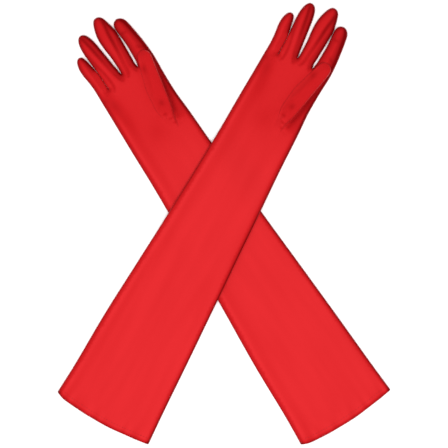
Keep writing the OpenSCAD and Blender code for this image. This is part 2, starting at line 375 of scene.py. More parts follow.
side_line = curve(THUMB_SIDE + INDEX + MIDDLE + RING + LITTLE + LITTLE_SIDE, outline_gap)
hem_line = curve(HEM, 2.0)
outline = np.vstack([side_line, hem_line[1:-1]])

thumb_line = curve(THUMB_LEFT + THUMB_RIGHT, 1.1, closed=True)
tip_at = int(np.argmax((thumb_line - THUMB_AT) @ THUMB_Y))
thumb_left_line = thumb_line[: tip_at + 1]
thumb_right_line = np.vstack([thumb_line[tip_at:], thumb_line[:1]])
slit_left_at = int(np.argmin(np.hypot(*(thumb_line - SLIT_LEFT).T)))
slit_right_at = int(np.argmin(np.hypot(*(thumb_line - SLIT_RIGHT).T)))
SLIT_POINTS = 17
slit_share = 0.5 - 0.5 * np.cos(np.linspace(0, math.pi, SLIT_POINTS))
slit = THUMB_AT + (CUT_LEFT + (CUT_RIGHT - CUT_LEFT) * slit_share)[:, None] * THUMB_X
base_line = np.vstack([thumb_line[slit_right_at:], thumb_line[: slit_left_at + 1]])
base_loop = np.vstack([base_line, slit[1:-1]])

seam_lines = {
    name: (curve(on_palm, 1.2), curve(on_back, 1.2))
    for panels in SIDE_PANELS.values()
    for name, _, on_palm, on_back in panels
}


def left_edge(v):
    """u of the glove's edge on the little finger's side."""
    part = side_line[side_line[:, 0] < LITTLE_SIDE_U][::-1]
    return np.interp(v, part[:, 1], part[:, 0])


def parting_u(i, v):
    """u of the line between two fingers, at the height v."""
    return at_v(np.array(PARTING[i], float), v)


# The side seam, the hem's top and the lines across which the fingers bend.
seam_v = np.concatenate([np.arange(8, 380, 4.0), np.arange(380, 486, 2.0)])
side_seam_line = np.stack([left_edge(seam_v) + SIDE_SEAM_IN, seam_v], 1)
hem_u = np.arange(-66, 66.1, 2.0)
hem_top_line = np.stack([hem_u, np.interp(hem_u, hem_line[:, 0], hem_line[:, 1]) + HEM_W], 1)
cut_lines = []
for i, f in enumerate(FINGERS):
    first_u, last_u = max(parting_u(i, CUT_V[f]), -45), min(parting_u(i + 1, CUT_V[f]), 50)
    cut_u = np.linspace(first_u, last_u, round((last_u - first_u) / 1.1) + 1)
    cut_lines.append(np.stack([cut_u, np.full(len(cut_u), CUT_V[f])], 1))
inner_lines = (
    [hem_top_line, side_seam_line, slit, base_line]
    + cut_lines
    + [line for pair in seam_lines.values() for line in pair]
)
PLAN, PLAN_FACES = triangulate(outline, inner_lines, GLOVE_GRID, GLOVE_RINGS)
THUMB_OUTLINE = np.vstack([thumb_line[slit_left_at : slit_right_at + 1], slit[-2:0:-1]])
THUMB_PLAN, THUMB_PLAN_FACES = triangulate(THUMB_OUTLINE, [], THUMB_GRID, THUMB_RINGS)


def thumb_y(points):
    """Distance along the thumb from its cut."""
    return (points - THUMB_AT) @ THUMB_Y


def hem_height(points):
    """Distance of each point above the hem's edge, along the arm."""
    return points[:, 1] - np.interp(points[:, 0], hem_line[:, 0], hem_line[:, 1])


# ---------------------------------------------------------------- heights of the cloth


def crease(points, line, depth, sigma, fade, pucker=0.0, pitch=2.7, phase=0.0):
    """Depth of a valley along a line, which fades out over the two fade lengths, and its closeness."""
    away, along = nearest(points, line)
    length = float(np.linalg.norm(np.diff(line, axis=0), axis=1).sum())
    ends = step(along, 0, fade[0]) * step(length - along, 0, fade[1])
    wave = 1 + pucker * np.sin(2 * math.pi * along / pitch + phase)
    return depth * bell(away, sigma) * ends * wave, bell(away, 1.25 * sigma) * ends


# Valleys in the palm side along the seams of the side panels: depth, width, fade at each end, puckers, how
# dark the painted shade along the seam is near the hand and near the tip, and how far that painted shade
# reaches towards the thumb's side.
SEAM_FOLDS = {
    "little_fourchette": (0.6, 1.4, (5, 10), 0.15, 0.06, 0.25, 2.0),
    "ring_fourchette_little_side": (1.1, 1.4, (3, 16), 0.15, 0.42, 0.2, 1.6),
    "ring_fourchette_middle_side": (1.5, 1.5, (5, 8), 0.12, 0.38, 0.86, 3.6),
    "middle_fourchette_ring_side": (1.5, 1.5, (5, 10), 0.12, 0.34, 0.86, 3.8),
    "middle_fourchette_index_side": (0.9, 1.4, (5, 14), 0.15, 0.24, 0.2, 1.6),
    "index_fourchette": (0.5, 1.5, (4, 14), 0.15, 0.12, 0.12, 1.6),
}

# Other valleys there: knots, depth, width, fade at each end, and how dark the painted shade in them is.
CREASES = [
    ([(-22.1, 470.5), (-22.4, 474), (-22.9, 481), (-23.0, 486)], 0.3, 1.4, (4, 2), 0),
    ([(24.0, 529.5), (27.5, 527.6), (30, 527.2), (34, 529.5)], 0.6, 1.5, (3, 4), 0.35),
    ([(30.0, 509.0), (35.0, 504.5), (43.4, 500.5)], 0.7, 2.4, (7, 2), 0.4),
    ([(-37.5, 473.5), (-33.0, 471.5), (-28.0, 471.0)], 0.5, 2.6, (2, 5), 0.25),
]
# The palm's hollow beside the little finger, and the slit where that finger touches the ring finger.
HOLLOW = np.array([(-19.0, 405.0), (-22.0, 430.0), (-26.5, 450.0), (-28.5, 474.0)])
SLIT_OF_LITTLE = np.array([(-23.0, 481.0), (-23.0, 504.0)])
# The puckered webs between the fingers: place, and how dark the painted shade at them is.
WEBS = [((-22.6, 476.5), 0), ((-0.3, 484.0), 0.32), ((20.4, 484.6), 0)]


def drape_lift(points_xy, other):
    """Lift of the upper glove where it lies on the lower one, from the distance across that one."""
    across = np.abs((points_xy - other["at"]) @ other["u"])
    along = (points_xy - other["at"]) @ other["v"]
    on_it = step(along, OVER_FROM, OVER_FROM + 50) * step(OVER_TO - along, 0, 60)
    return OVER_Z * (1 - step(across, OVER_NEAR, OVER_FAR)) * on_it


def soft_noise(points, size, seed):
    """Smooth noise between -1 and 1, with bumps of about the size."""
    return np.array([noise.noise(Vector((x / size, y / size, seed))) for x, y in points])


def edge_of(points):
    """Distance of each point to the glove's edge, and how squarely that edge faces the thumb's side."""
    away, along = nearest(points, side_line)
    run = np.concatenate([[0], np.cumsum(np.linalg.norm(np.diff(side_line, axis=0), axis=1))])
    edge_u = np.interp(along, run, side_line[:, 0])
    return away, step((edge_u - points[:, 0]) / np.maximum(away, 0.05), 0.1, 0.9)


def painted_edge_shade(points, d, thumbward):
    """Painted shade where the cloth turns over at the edge, more so on the thumb's side, with painted
    highlights beside it.
    """
    u, v = points[:, 0], points[:, 1]
    finger, wrist = step(v, 474, 492), step(v, 250, 340) * step(480 - v, 0, 20)
    # on the arm painted shade at the turn, with a painted highlight and a faint painted shade band beside it
    # on the little finger's side
    arm_shade = (0.66 + 0.26 * thumbward) * bell(d, 3.1 + 0.7 * wrist * thumbward)
    arm_shade += (0.08 + 0.2 * thumbward) * bell(d, 1.6)
    painted_ridge = (0.085 * bell(d - 14, 5.5) - 0.10 * bell(d - 7, 2.0)) * (1 - thumbward) * step(470 - v, 0, 40)
    # on the fingers the same painted shade at the turn, broader towards the thumb and over the index finger,
    # and faint where two fingers touch, with a painted highlight at the foot of their slit
    away = 0.80 * bell(d, 3.3) * (1 - thumbward)
    near = (0.92 * bell(d, 2.9) + 0.42 * bell(d, 6.5)) * thumbward
    index = (0.3 * bell(d, 8.5) + 0.2 * bell(d, 3.0)) * thumbward * step(u, 30, 36) + 0.14 * step(u, 23, 27)
    touching = bell(nearest(points, SLIT_OF_LITTLE)[0], 5)
    slit_shade = 0.18 * bell(d, 1.9) * step(v, 483, 496) - 0.3 * bell(v - 483, 4)
    on_finger = (away + near + index) * (1 - touching) + slit_shade * touching
    return (arm_shade + painted_ridge) * (1 - finger) + on_finger * finger


def bare_height(d, v):
    """Height of the palm side above the floor before its folds, from the distance to the glove's edge."""
    hand, finger = step(v, *HAND_V), step(v, *FINGERS_V)
    edge = EDGE_Z + (FINGER_EDGE_Z - EDGE_Z) * finger
    full = 5.5 + 0.5 * step(v, 300, 400) + 0.5 * finger + 0.5 * step(60 - v, 0, 60)
    arm, palm, tube = (round_both(d, curves) for curves in (ARM_ROUND, PALM_ROUND, FINGER_ROUND))
    rise = (arm * (1 - hand) + palm * hand) * (1 - finger) + tube * finger
    return edge + (full - edge) * rise


def top_height(points, seed):
    """Height of the palm-side cloth above the floor, and its painted shade and light, with a little random
    tone.
    """
    d, thumbward = edge_of(points)
    u, v = points[:, 0], points[:, 1]
    hand = step(v, *HAND_V)
    inner = step(d, 0.6, 5)
    z = bare_height(d, v)
    tone = np.zeros(len(points))

    # soft, broad unevenness of the cloth, calm where the other glove lies on it
    calm = 1 - 0.6 * bell(v - 250, 90)
    broad = 0.42 * soft_noise(points * (1, 0.55), 46, seed)
    z += inner * calm * (broad + 0.16 * hand * soft_noise(points, 17, seed + 5))

    # ripples that run in from the hem with painted light and shade streaks over them, a little random tone on
    # the arm, painted shade at the hem's edge, and its doubled cloth
    up = hem_height(points)
    wander = soft_noise(points * (1, 0.2), 22, seed + 9)
    z += inner * bell(up, 15) * (0.42 * np.sin(u / 5.2 + 2.0 * wander) - 0.1)
    wander = soft_noise(points * (1, 0.3), 14, seed + 2)
    # painted light and shade streaks of the ripples
    tone += 0.10 * bell(up, 12) * np.sin(u / 3.1 + 3.0 * wander) * inner
    tone += 0.06 * soft_noise(points * (1, 0.12), 9, seed + 7) * (1 - hand)
    # painted shade at the hem's turned edge
    tone += 0.80 * bell(up, 2.7)
    z += 0.22 * (1 - step(up, HEM_W - 0.7, HEM_W + 0.3)) * step(d, 0, 3)

    # the side seam with painted shade in its valley, and the fuller edge beside it
    seam = (left_edge(v) + SIDE_SEAM_IN) - u
    on_arm = step(478 - v, 0, 12)
    z -= 0.30 * bell(seam, 0.6) * on_arm
    z += 0.12 * bell(seam - 1.7, 1.0) * on_arm
    tone += 0.15 * bell(seam, 0.7) * on_arm

    # painted shade: the hand, the fingertips and the middle of the palm darker, standing in for light that
    # falls off towards the fingers
    tone += 0.155 * step(v, 320, 440) + 0.12 * step(v, 500, 545)
    tone += 0.09 * bell(np.hypot(u + 2, v - 407), 13)
    # painted shade where the cloth turns over at the edges
    tone += painted_edge_shade(points, d, thumbward)

    # a long soft hollow down the palm beside the little finger, with painted shade in it and in a band below
    # that finger
    hollow, close = crease(points, HOLLOW, 0.9, 6.5, (22, 14))
    z -= hollow * inner
    tone += 0.16 * close * step(v, 405, 455)
    tone += 0.19 * bell(u + 28.5, 6.5) * step(v, 442, 468) * step(484 - v, 0, 8)

    for here, shape in ((v > 455, shape_fingers), ((v > 385) & (v < 500) & (u > 0), shape_pocket)):
        if here.any():
            z[here], tone[here] = shape(points[here], d[here], z[here], tone[here])
    return z, tone


def shape_fingers(points, d, z, tone):
    """Adds the seams, creases and puckers of the fingers and their roots to a height, and their painted shade
    to a tone.
    """
    for k, (name, fold) in enumerate(SEAM_FOLDS.items()):
        depth, width, fade, pucker, dark, tip_dark, reach = fold
        line = seam_lines[name][0]
        drop, close = crease(points, line, depth, width, fade, pucker, 2.4 + 0.17 * k, k)
        z = z - drop * step(d, 0, 1.6)
        beside = points[:, 0] - at_v(line, points[:, 1])
        shade = np.where(beside > 0, bell(beside, reach), bell(beside, 1.5))
        shade *= np.minimum(1, 1.4 * close ** 0.3)
        start = step(points[:, 1], line[0, 1] - 1, line[0, 1] + 6)
        end = step(line[-1, 1] - points[:, 1], 2, fade[1] + 2)
        deepest = dark + (tip_dark - dark) * step(points[:, 1], 498, 530)
        tone = tone + deepest * shade * start * end * np.maximum(0, 1 - tone)
    for knots, depth, width, fade, dark in CREASES:
        drop, close = crease(points, curve(knots, 2.0), depth, width, fade, 0.1)
        z = z - drop * step(d, 0, 1.6)
        tone = tone + dark * close * np.maximum(0, 1 - tone)
    for k, (web, dark) in enumerate(WEBS):
        rel = points - np.array(web)
        r, angle = np.hypot(*rel.T), np.arctan2(rel[:, 1], rel[:, 0])
        z = z + 0.28 * np.cos(9 * angle + k) * bell(r - 5.0, 3.4) * step(d, 0, 2.0)
        tone = tone + dark * bell(r, 3.0) * np.maximum(0, 1 - tone)
    return z, tone


# The wedge between the thumb and the hand's edge: a valley that holds painted shade.
WEDGE = [(25.8, 407), (27.4, 413.6), (30.6, 426), (33.8, 442), (37, 458), (40.2, 474), (41.8, 490)]
# The valleys on the palm's side of the thumb and at its root: knots, width, fade at each end, puckers and how
# dark the painted shade in them is. They share one depth.
THUMB_CREASES = [
    ([(9.4, 436), (11.6, 452), (15.4, 468), (21.5, 487), (27, 500)], 3.4, (16, 8), 0.08, 0.05),
    ([(8.5, 412), (7.6, 424), (9, 438), (12, 452)], 4.0, (8, 10), 0, 0.03),
]
THUMB_CREASE_DEPTH = 0.3
# Small dimples and bumps round the thumb's root: place, height and reach.
DIMPLES = [((9.0, 419.0), 0.5, 3.0), ((6.5, 431.0), 0.35, 4.0), ((27.5, 404.0), -0.7, 3.2)]


def shape_pocket(points, d, z, tone):
    """Adds the pocket beside the thumb, and the cloth round the thumb's root, to a height, and their painted
    shade to a tone.
    """
    v = points[:, 1]
    wedge = curve(WEDGE, 2.0)
    z = z - crease(points, wedge, 2.7, 3.2, (7, 50))[0] * step(d, 0, 5)
    # painted shade in the wedge, and a painted dark strip between it and the hand's edge
    dark = 0.60 + 0.18 * step(v, 430, 452)
    tone = np.maximum(tone, dark * crease(points, wedge, 1, 2.4, (12, 2))[1])
    beyond = step(points[:, 0] - at_v(wedge, v), -2, 1) * step(v, 398, 411) * step(498 - v, 0, 4)
    shaded_strip = (0.36 + 0.10 * step(v, 408, 420) + 0.22 * step(v, 420, 445)) * beyond
    tone = np.maximum(tone, shaded_strip) + 0.4 * shaded_strip * (tone > shaded_strip)
    for knots, width, fade, pucker, shade in THUMB_CREASES:
        drop, close = crease(points, curve(knots, 2.0), THUMB_CREASE_DEPTH, width, fade, pucker, 9.0)
        z = z - drop
        tone = tone + shade * close
    beside_root = bell(nearest(points, thumb_left_line)[0], 4.5)
    z = z + 0.8 * beside_root * step(thumb_y(points), -16, 2) * step(80 - thumb_y(points), 0, 30)
    for place, size, reach in DIMPLES:
        z = z + size * bell(np.hypot(*(points - place).T), reach)
    return z, tone


def bottom_height(points, side_away):
    """Height of the back cloth above the floor."""
    finger = step(points[:, 1], *FINGERS_V)
    edge = EDGE_Z + (FINGER_EDGE_Z - EDGE_Z) * finger
    return edge * (1 - round_off(side_away, 4.0 + finger))


def thumb_rise(points, seed):
    """Height of the thumb's upper cloth above the palm, with a softer edge on the palm's side."""
    left = nearest(points, thumb_left_line)[0]
    right = nearest(points, thumb_right_line)[0]
    y = thumb_y(points)
    crisp = 0.06 + 0.28 * step(y, *THUMB_TIP_Y)
    start = step(0, *THUMB_SOFT) * (1 - crisp)
    from_left = (crisp * round_off(left, 2.2) + (1 - crisp) * step(left, *THUMB_SOFT) - start) / (1 - start)
    share = from_left * round_both(right, THUMB_ROUND)
    full = 4.3 + 0.5 * step(y, 10, 60) - 0.5 * step(y, 66, 84)
    z = full * share * step(y, -THUMB_BASE, -1.5)
    fold = step(left, 1.0, 4.0) * step(right, 0.6, 3.0)
    for (cu, cv), size, ru, rv in THUMB_FOLDS:
        rel = points - (cu, cv)
        x, w = rel @ THUMB_X, rel @ THUMB_Y
        z += size * np.exp(-((x / ru) ** 2) - (w / rv) ** 2) * fold
    z += 0.35 * fold * soft_noise(points * (1, 0.6), 7.5, seed + 3) * step(y, -10, 5)
    return z


# Small folds on the thumb: place, height, and reach across and along it.
THUMB_FOLDS = [
    ((17.4, 415.6), 0.9, 1.7, 1.5), ((20.4, 409.4), 0.8, 1.8, 1.4), ((19.4, 412.4), -0.9, 3.2, 1.1),
    ((21.6, 405.4), -0.6, 2.6, 1.3), ((16.2, 420.0), -0.6, 3.0, 1.5), ((17.0, 446.0), 0.55, 1.4, 4.0),
    ((20.4, 434.0), -0.8, 3.4, 4.2), ((22.6, 458.0), 0.35, 1.2, 5.0), ((27.5, 464.0), 0.3, 1.2, 5.5),
    ((14.8, 428.0), 0.4, 1.8, 4.0), ((25.0, 478.0), -0.3, 3.0, 5.0),
]


def thumb_painted_shade(points):
    """Painted shade on the thumb, in its dents, at its edge and over its body, and faint painted highlights
    on its bumps and beside its palm-side edge.
    """
    tone = np.zeros(len(points))
    for (cu, cv), size, ru, rv in THUMB_FOLDS:
        rel = points - (cu, cv)
        shape = np.exp(-((rel @ THUMB_X / ru) ** 2) - (rel @ THUMB_Y / rv) ** 2)
        # painted shade in the dents, a faint painted highlight on the bumps
        tone = np.maximum(tone, (0.28 if size < 0 else -0.1) * shape)
    y = thumb_y(points)
    left, right = nearest(points, thumb_left_line)[0], nearest(points, thumb_right_line)[0]
    # a painted highlight beside the palm-side edge, painted shade at the other edge and over the whole thumb
    tone -= 0.11 * bell(left, 6.0) * step(84 - y, 0, 12) * step(y, -18, 4)
    tone += 0.1 * bell(right, 1.2) * step(y, -10, 5)
    return tone + 0.15 * step(y, -30, -4) + 0.16 * step(y, -6, 12)


# ---------------------------------------------------------------- building the cloth of one glove


class Cloth:
    """Vertices of one glove in its own frame, with faces that carry the name of the piece they belong to."""

    def __init__(self):
        self.points, self.tones, self.faces, self.labels = [], [], [], []
        self.count = 0

    def add(self, points, tones):
        first = self.count
        self.points.append(points)
        self.tones.append(tones)
        self.count += len(points)
        return first + np.arange(len(points))

    def fill(self, faces, labels):
        self.faces.append(faces)
        self.labels += list(labels)

    def join(self):
        """Everything as arrays, with points that coincide made one."""
        points, tones = np.vstack(self.points), np.concatenate(self.tones)
        faces = np.vstack(self.faces)
        _, first, same = np.unique(np.round(points, 3), axis=0, return_index=True, return_inverse=True)
        faces = same.reshape(-1)[faces]
        keep = (
            (faces[:, 0] != faces[:, 1]) & (faces[:, 1] != faces[:, 2]) & (faces[:, 2] != faces[:, 0])
        )
        return points[first], tones[first], faces[keep], np.array(self.labels)[keep]


def finger_of(u, v):
    """Name of the finger that each place belongs to, or an empty name on the rest of the glove."""
    names = np.full(len(u), "", dtype=object)
    for i, f in enumerate(FINGERS):
        names[(u > parting_u(i, v)) & (u <= parting_u(i + 1, v)) & (v > CUT_V[f])] = f
    return names


def face_labels(points, faces, top):
    """The piece that each triangle of the glove's palm side (top) or back belongs to."""
    centre = points[faces].mean(1)
    u, v = centre.T
    labels = np.full(len(faces), "palm" if top else "back", dtype=object)
    labels[u < left_edge(v) + SIDE_SEAM_IN] = "side_seam"
    labels[v < np.interp(u, hem_top_line[:, 0], hem_top_line[:, 1])] = "cuff_hem"
    if top:
        labels[inside(centre, base_loop)] = "thumb_base"
    of = finger_of(u, v)
    for f in FINGERS:
        here = of == f
        labels[here] = f + ("_front" if top else "_back")
        for name, side, *_ in SIDE_PANELS[f]:
            line = seam_lines[name][0 if top else 1]
            beyond = side * (u - at_v(line, v)) > 0
            inside_run = v < line[-1, 1]
            labels[here & beyond & inside_run] = name
    return labels


def glove_cloth(seed):
    """The whole glove in its own frame, in millimetres, as if it lay on the floor by itself."""
    cloth = Cloth()
    add_trank(cloth, seed)
    add_thumb(cloth, seed)
    return cloth.join()


def add_trank(cloth, seed):
    """Adds the palm side with the thumb's raised base, and the back."""
    away = nearest(PLAN, side_line)[0]
    top_z, tone = top_height(PLAN, seed)
    bottom_z = bottom_height(PLAN, away)
    shared = away < 1e-3
    bottom_z[shared] = top_z[shared]
    in_base = inside(PLAN, base_loop) | (nearest(PLAN, slit)[0] < 1e-3)
    raised = top_z + np.where(in_base, thumb_rise(PLAN, seed), 0)
    base_tone = np.where(in_base, np.maximum(thumb_painted_shade(PLAN), tone), tone)
    low = cloth.add(np.column_stack([PLAN, top_z]), tone)
    high = cloth.add(np.column_stack([PLAN, raised]), base_tone)
    under = cloth.add(np.column_stack([PLAN, bottom_z]), np.zeros(len(PLAN)))
    labels = face_labels(PLAN, PLAN_FACES, True)
    is_base = labels == "thumb_base"
    cloth.fill(high[PLAN_FACES[is_base]], labels[is_base])
    cloth.fill(low[PLAN_FACES[~is_base]], labels[~is_base])
    cloth.fill(under[PLAN_FACES[:, ::-1]], face_labels(PLAN, PLAN_FACES, False))


def add_thumb(cloth, seed):
    """Adds the thumb, a closed sleeve that opens at its cut."""
    palm_z, _ = top_height(THUMB_PLAN, seed)
    ty = thumb_y(THUMB_PLAN)
    lift = step(ty, 0.5, 14)
    floor_z = palm_z + lift * (THUMB_UNDER_Z - palm_z)
    right_away = nearest(THUMB_PLAN, thumb_right_line)[0]
    left_away = nearest(THUMB_PLAN, thumb_left_line)[0]
    right_share = step(left_away - right_away, -8, 4)
    edge_z = step(ty, 0, 12) * (0.40 + 0.9 * right_share) * (1 - 0.5 * step(ty, *THUMB_TIP_Y))
    edge_away = np.minimum(left_away, right_away)
    full = thumb_rise(THUMB_PLAN, seed)
    upper = floor_z + edge_z * (1 - round_off(edge_away, 6)) + full
    lower = floor_z + edge_z * (1 - round_off(edge_away, 3.0))
    on_edge = edge_away < 1e-3
    lower[on_edge] = upper[on_edge]
    tones = thumb_painted_shade(THUMB_PLAN)
    over = cloth.add(np.column_stack([THUMB_PLAN, upper]), tones)
    beneath = cloth.add(np.column_stack([THUMB_PLAN, lower]), tones)
    cloth.fill(over[THUMB_PLAN_FACES], ["thumb_front"] * len(THUMB_PLAN_FACES))
    cloth.fill(beneath[THUMB_PLAN_FACES[:, ::-1]], ["thumb_back"] * len(THUMB_PLAN_FACES))


def vertex_normals(points, faces):
    """Unit normals of the points, weighted by the area of the faces round them."""
    a, b, c = points[faces[:, 0]], points[faces[:, 1]], points[faces[:, 2]]
    n = np.cross(b - a, c - a)
    out = np.zeros_like(points)
    for k in range(3):
        np.add.at(out, faces[:, k], n)
    return out / np.maximum(np.linalg.norm(out, axis=1), 1e-12)[:, None]


def glove_frame(glove):
    """The glove's own frame, from the joint that bends its middle finger."""
    joint = next(j for j in frame["joints"] if j["name"] == f"{glove}_middle_flex")
    u = np.array(joint["axis"][:2]) / np.linalg.norm(joint["axis"][:2])
    v = np.array([-u[1], u[0]])
    at = np.array(joint["pos_m"][:2]) / MM - CUT_U["middle"] * u - CUT_V["middle"] * v
    return {"u": u, "v": v, "at": at}


def to_row(points, place, lift_from=None):
    """Points of a glove's own frame in the row frame, in metres."""
    xy = place["at"] + points[:, :1] * place["u"] + points[:, 1:2] * place["v"]
    z = points[:, 2] + (drape_lift(xy, lift_from) if lift_from else 0)
    return np.column_stack([xy, z]) * MM


def shell(name, points, normals, tones, plan, faces, thick):
    """A closed piece of cloth: the outer faces, the same faces further in, and the rim between them."""
    used, local = np.unique(faces, return_inverse=True)
    local = local.reshape(-1, 3)
    n = len(used)
    outer, out_n = points[used], normals[used]
    inner = outer - out_n * thick
    directed = np.vstack([local[:, [0, 1]], local[:, [1, 2]], local[:, [2, 0]]])
    known = {tuple(e) for e in directed.tolist()}
    rim = np.array([(a, b) for a, b in directed.tolist() if (b, a) not in known]).reshape(-1, 2)
    quads = np.column_stack([rim[:, 1], rim[:, 0], rim[:, 0] + n, rim[:, 1] + n])
    verts = np.vstack([outer, inner])
    mesh = bpy.data.meshes.new(name)
    mesh.from_pydata(
        verts.tolist(), [], local.tolist() + (local[:, ::-1] + n).tolist() + quads.tolist()
    )
    mesh.polygons.foreach_set("use_smooth", [True] * len(mesh.polygons))
    corner = np.empty(len(mesh.loops), np.int64)
    mesh.loops.foreach_get("vertex_index", corner)
    loop_n = np.vstack([out_n, -out_n])[corner]
    rim_from = 6 * len(local)  # the rim's corners come after those of the outer and the inner triangles
    q = verts[quads]
    face_n = np.cross(q[:, 2] - q[:, 0], q[:, 3] - q[:, 1])
    face_n /= np.maximum(np.linalg.norm(face_n, axis=1), 1e-12)[:, None]
    loop_n[rim_from:] = np.repeat(face_n, 4, axis=0)
    uv = mesh.uv_layers.new(name="Cut")
    flat = np.vstack([plan[used], plan[used]])[corner] * MM
    uv.data.foreach_set("uv", flat.astype(np.float32).ravel())
    # painted shade and painted highlights, with a little random tone, reach the material through this
    # attribute
    tone = mesh.attributes.new("PaintedShadeAndTone", "FLOAT", "POINT")
    tone.data.foreach_set("value", np.concatenate([tones[used]] * 2).astype(np.float32))
    mesh.normals_split_custom_set(loop_n.tolist())
    obj = bpy.data.objects.new(name, mesh)
    bpy.context.scene.collection.objects.link(obj)
    return obj


def stitches(name, place, seed, count=16, pitch=3.4, length=2.3, radius=0.2):
    """A row of stitches along the hem: short rounded threads that dip into the cloth at both ends."""
    verts, faces = [], []
    rings, sides = 7, 8
    for k in range(-count, count + 1):
        u = k * pitch
        v = float(np.interp(u, hem_line[:, 0], hem_line[:, 1])) + HEM_W - STITCH_BELOW
        spots = np.array([(u + length * (r / (rings - 1) - 0.5), v) for r in range(rings)])
        z = top_height(spots, seed)[0]
        first = len(verts)
        for r in range(rings):
            t = 2 * r / (rings - 1) - 1
            size = radius * math.sqrt(max(0.06, 1 - t**4))
            centre = STITCH_RISE - STITCH_DIP * t**4
            for s in range(sides):
                a = 2 * math.pi * s / sides
                across, rise = size * math.cos(a), centre + size * math.sin(a)
                verts.append((spots[r, 0], spots[r, 1] + across, z[r] + rise))
        for r in range(rings - 1):
            for s in range(sides):
                a, b = first + r * sides + s, first + r * sides + (s + 1) % sides
                faces.append((a, b, b + sides, a + sides))
        faces.append(tuple(first + s for s in reversed(range(sides))))
        faces.append(tuple(first + (rings - 1) * sides + s for s in range(sides)))
    mesh = bpy.data.meshes.new(name)
    mesh.from_pydata(to_row(np.array(verts), place).tolist(), [], faces)
    mesh.polygons.foreach_set("use_smooth", [True] * len(mesh.polygons))
    obj = bpy.data.objects.new(name, mesh)
    bpy.context.scene.collection.objects.link(obj)
    return obj


# ---------------------------------------------------------------- materials


class Nodes:
    """Short names for building a material's node tree."""

    def __init__(self, name):
        self.material = bpy.data.materials.new(name)
        self.material.use_nodes = True
        self.tree = self.material.node_tree
        self.shader = self.tree.nodes["Principled BSDF"]

    def put(self, socket, value):
        """Sets a socket to a value, or links another node's output to it."""
        if isinstance(value, (int, float, tuple)):
            socket.default_value = value
        else:
            self.tree.links.new(value, socket)

    def add(self, kind, inputs=None, **settings):
        node = self.tree.nodes.new(kind)
        for key, value in settings.items():
            setattr(node, key, value)
        for key, value in (inputs or {}).items():
            self.put(node.inputs[key], value)
        return node

    def math(self, operation, a, b, clamp=False):
        return self.add("ShaderNodeMath", {0: a, 1: b}, operation=operation, use_clamp=clamp).outputs[0]

    def mix(self, share, a, b, blend="MIX"):
        inputs = {0: share, 6: a, 7: b}
        return self.add("ShaderNodeMix", inputs, data_type="RGBA", blend_type=blend).outputs[2]

    def noise(self, vector, scale, detail):
        node = self.add("ShaderNodeTexNoise", {"Vector": vector, "Scale": scale, "Detail": detail})
        return node.outputs["Fac"]

    def stretched(self, vector, scale):
        return self.add("ShaderNodeMapping", {"Vector": vector, "Scale": scale}).outputs["Vector"]

    def slanting(self, vector, scale, distortion):
        """Slanting bands, as in a twill or a twisted thread."""
        inputs = {"Vector": vector, "Scale": scale, "Distortion": distortion}
        return self.add("ShaderNodeTexWave", inputs, bands_direction="DIAGONAL").outputs["Fac"]

    def surface(self, colour, **values):
        """Sets the shader's colour and its other inputs, whose names have _ for each space."""
        self.put(self.shader.inputs["Base Color"], colour)
        for key, value in values.items():
            self.put(self.shader.inputs[key.replace("_", " ")], value)

    def bump(self, height, strength, distance):
        node = self.add("ShaderNodeBump", {"Height": height, "Strength": strength, "Distance": distance})
        self.put(self.shader.inputs["Normal"], node.outputs["Normal"])


# The satin's red, a lighter red for painted highlights, its deeper red, the dark red of painted shade in
# folds and at edges, and a tint that takes the green and blue out of it as the painted shade deepens.
SATIN_RED = (0.545, 0.0178, 0.0205, 1)
SATIN_PAINTED_LIGHT = (0.80, 0.0350, 0.0400, 1)
SATIN_DEEP = (0.455, 0.0124, 0.0146, 1)
SATIN_PAINTED_SHADE = (0.140, 0.0003, 0.0006, 1)
PAINTED_SHADE_HUE = (1.0, 0.65, 0.68, 1)
THREAD_LIGHT, THREAD_DARK = (0.42, 0.006, 0.008, 1), (0.26, 0.003, 0.004, 1)
PAPER_LIGHT, PAPER_DARK = (0.93, 0.93, 0.93, 1), (0.90, 0.90, 0.90, 1)


